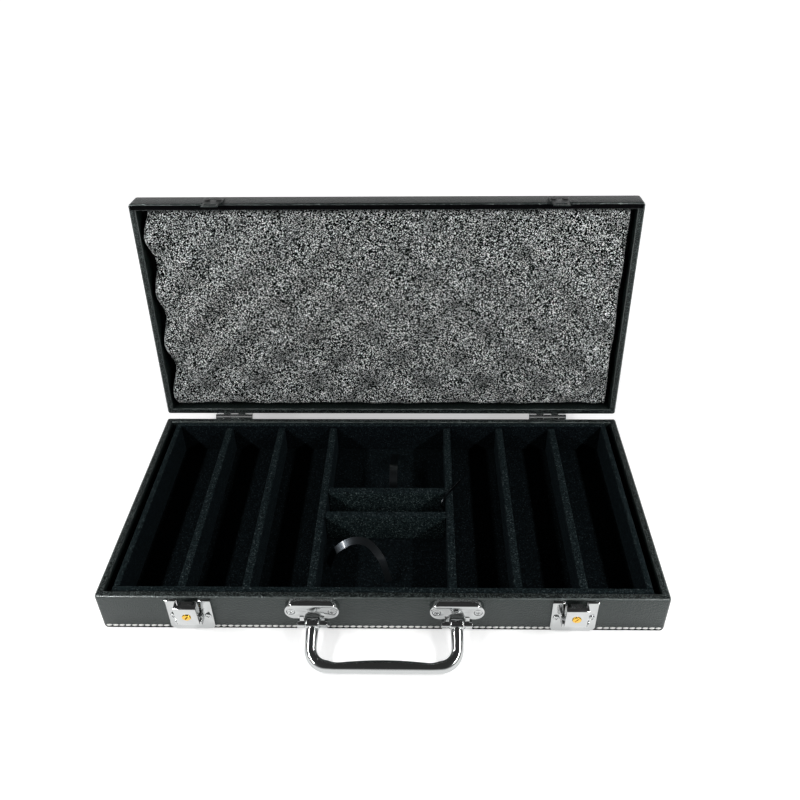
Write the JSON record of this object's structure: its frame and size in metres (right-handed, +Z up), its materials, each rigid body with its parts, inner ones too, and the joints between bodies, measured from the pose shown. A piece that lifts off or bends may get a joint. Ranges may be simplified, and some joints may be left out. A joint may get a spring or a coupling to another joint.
{
  "type": "leather poker case",
  "caption": "Long flat leather-covered poker case with a felt chip tray of lengthwise channels, a foam-lined hinged lid, a front carry handle and locking latches.",
  "frame": {"origin": "centre of the base's underside, on the surface it stands on", "axes": "+X to the right along the case's length, -Y towards the handle side, +Z up"},
  "size_m": [0.4006, 0.2698, 0.2335],
  "materials": {
    "leather": "grained black leather",
    "thread": "white waxed thread",
    "board": "fibreboard, covered",
    "felt_board": "fibreboard covered in black felt",
    "satin": "black satin ribbon",
    "foam": "convoluted charcoal foam",
    "felt": "black felt",
    "brass": "polished",
    "hasp": "black enamel",
    "pin_steel": "bright steel",
    "chrome": "bright nickel-chrome plate"
  },
  "bodies": {
    "base": {"base_back_board": "board", "base_bottom_board": "board", "base_bottom_leather": "leather", "base_front_board": "board", "base_leather_cover": "leather", "base_left_board": "board", "base_right_board": "board", "base_seam_thread": "thread", "bracket_screws": "chrome", "chip_divider_1": "felt_board", "chip_divider_2": "felt_board", "chip_divider_3": "felt_board", "chip_divider_4": "felt_board", "chip_divider_5": "felt_board", "chip_divider_6": "felt_board", "cross_divider_back": "felt_board", "cross_divider_front": "felt_board", "handle_bracket_left": "chrome", "handle_bracket_right": "chrome", "handle_pin_left": "pin_steel", "handle_pin_right": "pin_steel", "hinge_base_leaf_left": "chrome", "hinge_base_leaf_right": "chrome", "hinge_base_screws": "chrome", "hinge_pin_left": "pin_steel", "hinge_pin_right": "pin_steel", "insert_back_wall": "felt_board", "insert_floor": "felt_board", "insert_front_wall": "felt_board", "insert_left_wall": "felt_board", "insert_right_wall": "felt_board", "latch_pin_left": "pin_steel", "latch_pin_right": "pin_steel", "latch_plate_left": "chrome", "latch_plate_right": "chrome", "latch_screws": "chrome", "ribbon_back": "satin", "ribbon_dice": "satin", "ribbon_front": "satin"},
    "lid": {"hasp_rivets": "hasp", "hinge_lid_leaf_left": "chrome", "hinge_lid_leaf_right": "chrome", "hinge_lid_screws": "chrome", "lid_back_board": "board", "lid_felt_strip": "felt", "lid_foam": "foam", "lid_front_board": "board", "lid_hasp_left": "hasp", "lid_hasp_right": "hasp", "lid_leather_cover": "leather", "lid_left_board": "board", "lid_panel_board": "board", "lid_right_board": "board", "lid_seam_thread": "thread"},
    "handle": {"handle": "chrome"},
    "latch_left": {"latch_cover_left": "chrome"},
    "latch_right": {"latch_cover_right": "chrome"},
    "key_left": {"key_cylinder_left": "brass"},
    "key_right": {"key_cylinder_right": "brass"}
  },
  "joints": [
    {"name": "lid_hinge", "type": "hinge", "parent": "base", "child": "lid", "pos_m": [0, 0.1, 0.0345], "axis": [-1, 0, 0], "range_deg": [-94.5, 0]},
    {"name": "handle_swing", "type": "hinge", "parent": "base", "child": "handle", "pos_m": [0.0024, -0.1045, 0.0144], "axis": [-1, 0, 0], "range_deg": [-70, 85]},
    {"name": "latch_left_swing", "type": "hinge", "parent": "base", "child": "latch_left", "pos_m": [-0.1345, -0.103, 0.0156], "axis": [1, 0, 0], "range_deg": [-6, 35]},
    {"name": "key_left_turn", "type": "hinge", "parent": "latch_left", "child": "key_left", "pos_m": [-0.1345, -0.10682, 0.02324], "axis": [0, -0.9945, -0.1045], "range_deg": [0, 90]},
    {"name": "latch_right_swing", "type": "hinge", "parent": "base", "child": "latch_right", "pos_m": [0.1345, -0.103, 0.0156], "axis": [1, 0, 0], "range_deg": [-6, 35]},
    {"name": "key_right_turn", "type": "hinge", "parent": "latch_right", "child": "key_right", "pos_m": [0.1345, -0.10682, 0.02324], "axis": [0, -0.9945, -0.1045], "range_deg": [0, 90]}
  ]
}
